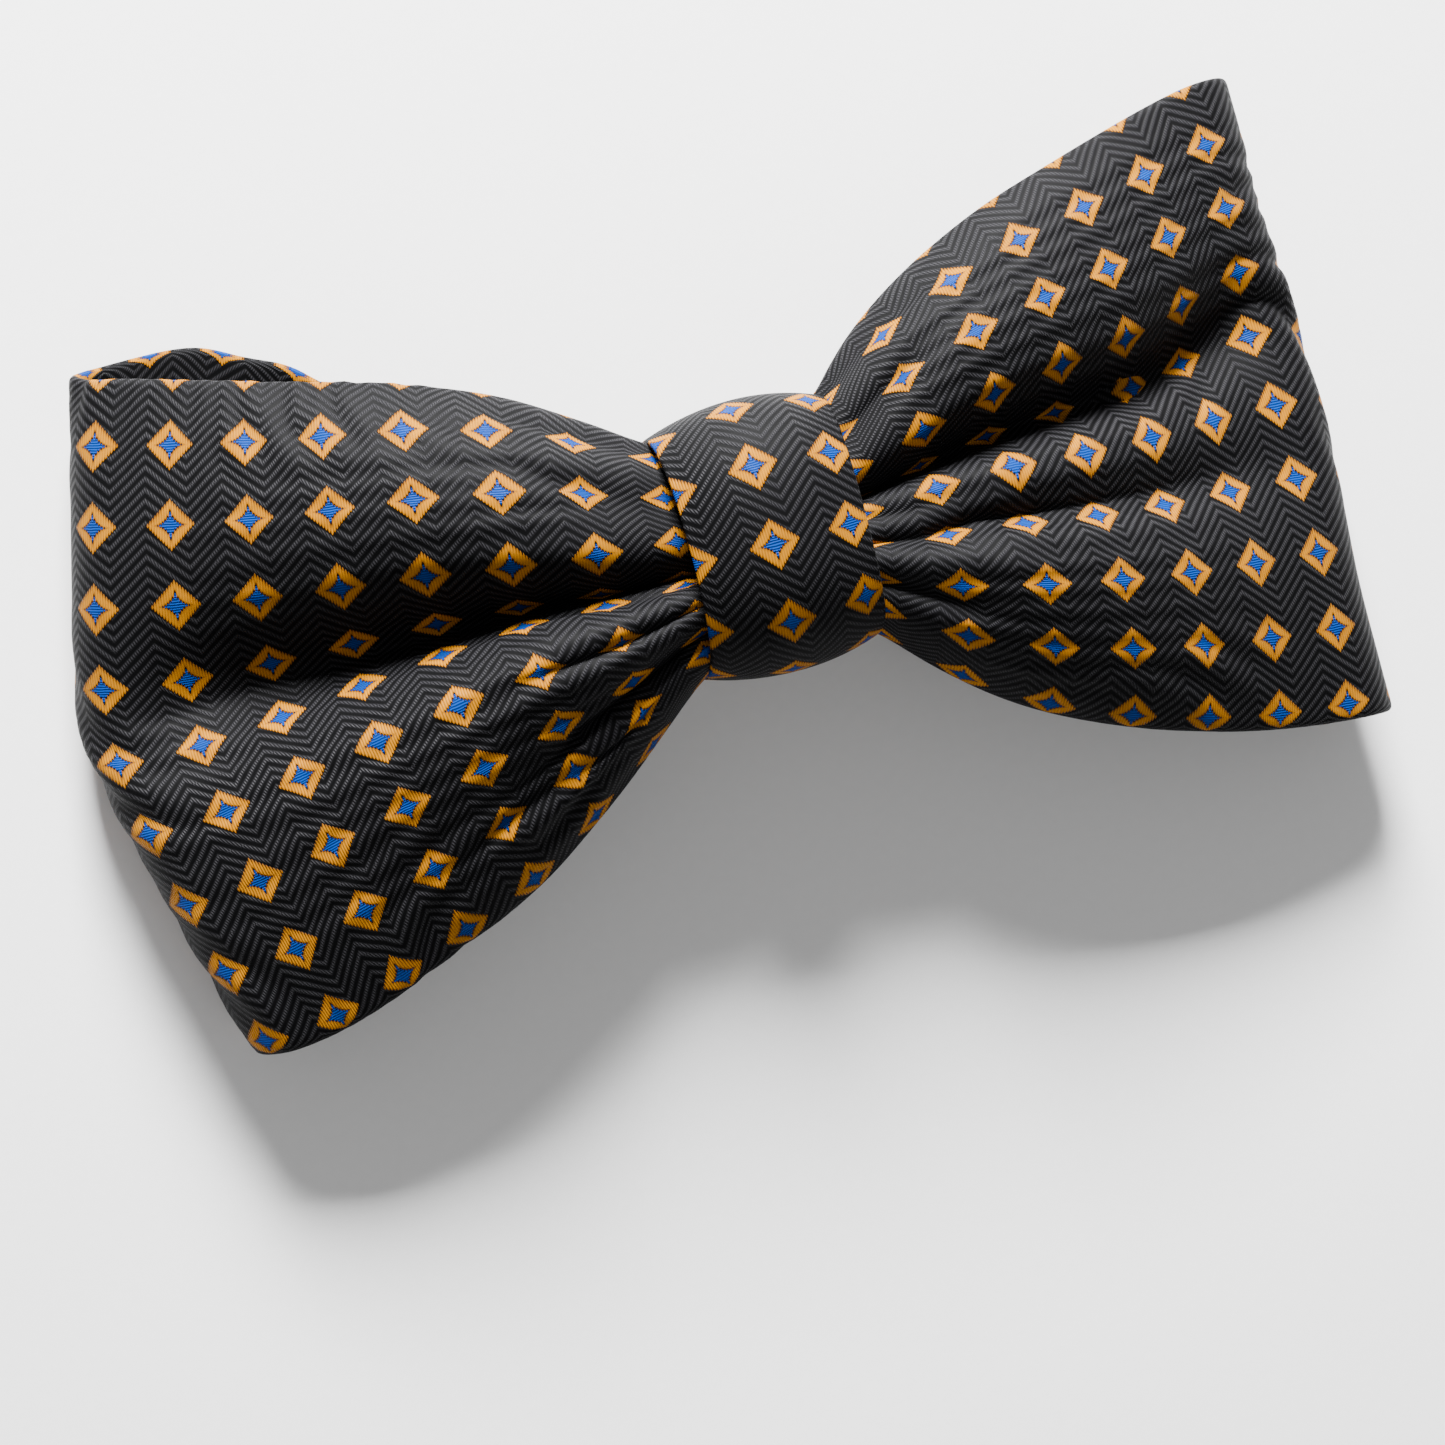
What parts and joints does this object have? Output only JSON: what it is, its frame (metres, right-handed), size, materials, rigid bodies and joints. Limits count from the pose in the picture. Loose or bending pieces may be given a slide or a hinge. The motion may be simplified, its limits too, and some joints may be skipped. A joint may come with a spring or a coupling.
{
  "type": "bow tie",
  "caption": "Pre-tied bow tie lying on its back: a pleated bow, a wrapped knot and a folded neckband with a hook, an eye and a sliding adjuster.",
  "frame": {"origin": "under the knot, on the surface that the bow lies on, at the middle of the bounding box's base", "axes": "+X along the bow towards the wing over the hook and slider, +Y across the bow (up when worn), +Z towards the front of the bow"},
  "size_m": [0.1246, 0.0648, 0.0264],
  "materials": {
    "jacquard": "black silk with a herringbone ground and small gold and blue diamonds",
    "stiffener": "matte non-woven",
    "metal": "polished nickel plate",
    "thread": "black sewing thread"
  },
  "bodies": {
    "bow": {"bow_shell": "jacquard", "bow_interlining": "stiffener", "knot_wrap": "jacquard", "knot_padding": "stiffener", "knot_seam_stitch": "thread", "strip_join_stitch": "thread", "waist_binding": "thread", "neckband": "jacquard", "neckband_interlining": "stiffener", "eye_end_stitch": "thread"},
    "slider": {"slide_adjuster": "metal", "slider_end_stitch": "thread"},
    "hook": {"band_hook": "metal"},
    "eye": {"band_eye": "metal"}
  },
  "joints": [
    {"name": "slider_travel", "type": "slide", "parent": "bow", "child": "slider", "axis": [-1, 0, 0], "range_m": [0, 0.006]},
    {"name": "hook_swing", "type": "hinge", "parent": "bow", "child": "hook", "pos_m": [0.012, 0, 0.00305], "axis": [0, 1, 0], "range_deg": [0, 8]},
    {"name": "eye_swing", "type": "hinge", "parent": "bow", "child": "eye", "pos_m": [-0.0165, 0, 0.00305], "axis": [0, -1, 0], "range_deg": [0, 10]}
  ]
}
